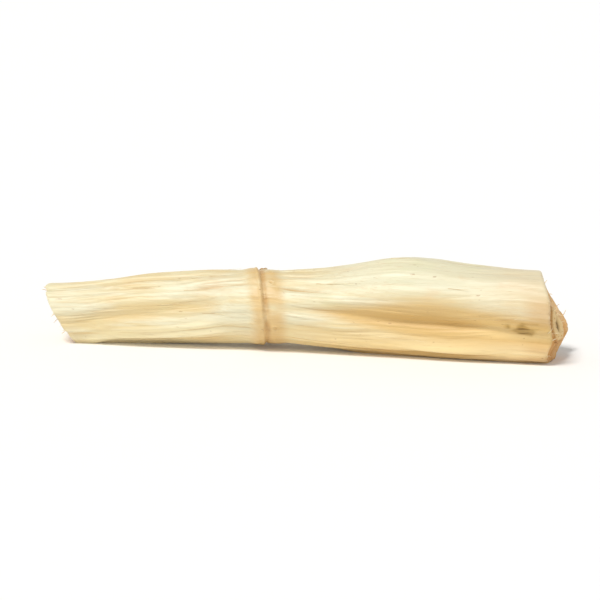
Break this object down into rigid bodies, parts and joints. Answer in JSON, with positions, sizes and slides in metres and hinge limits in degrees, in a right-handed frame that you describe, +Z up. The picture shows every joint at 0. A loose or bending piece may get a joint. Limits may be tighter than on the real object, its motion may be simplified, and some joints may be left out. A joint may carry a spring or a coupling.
{
  "type": "cogongrass rhizome segment",
  "caption": "Short cut length of dried, straw-coloured grass rhizome: a slim wrinkled internode and a wider grooved one meet at a ringed node, both ends cut and hollow.",
  "frame": {"origin": "middle of the footprint, on the surface that the segment lies on", "axes": "+X along the stem from its slim cut end to its wide one, -Y out of the grooved side, +Z up"},
  "size_m": [0.0228, 0.0042, 0.0041],
  "materials": {
    "rhizome": "satin"
  },
  "bodies": {
    "root": {"rhizome": "rhizome"}
  },
  "joints": []
}
